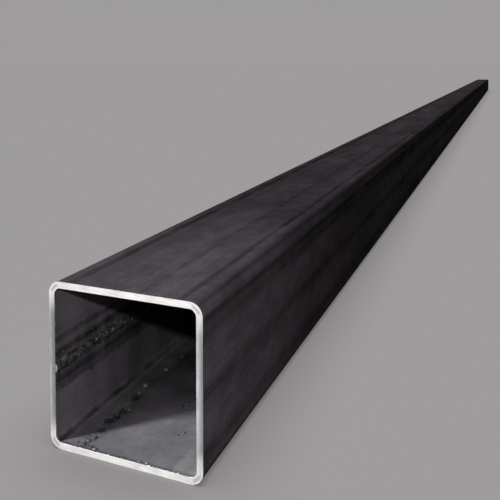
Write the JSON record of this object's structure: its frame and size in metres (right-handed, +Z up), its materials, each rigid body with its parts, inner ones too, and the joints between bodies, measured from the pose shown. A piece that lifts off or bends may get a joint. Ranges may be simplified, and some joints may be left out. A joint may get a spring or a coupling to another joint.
{
  "type": "square steel tube",
  "caption": "Long square steel tube with rounded corners, an internal weld flash along one wall and square sawn ends, for frames, posts and rails.",
  "frame": {"origin": "on the underside, midway between the sawn ends and midway between the sides", "axes": "+Y along the tube from the near sawn end to the far one, +Z up, +X across; the weld seam is in the -X wall, 2 mm below its middle"},
  "size_m": [0.1, 6, 0.1],
  "materials": {
    "black_steel": "charcoal mill scale as rolled, with bright sawn ends"
  },
  "bodies": {
    "root": {"square_tube": "black_steel"}
  },
  "joints": []
}
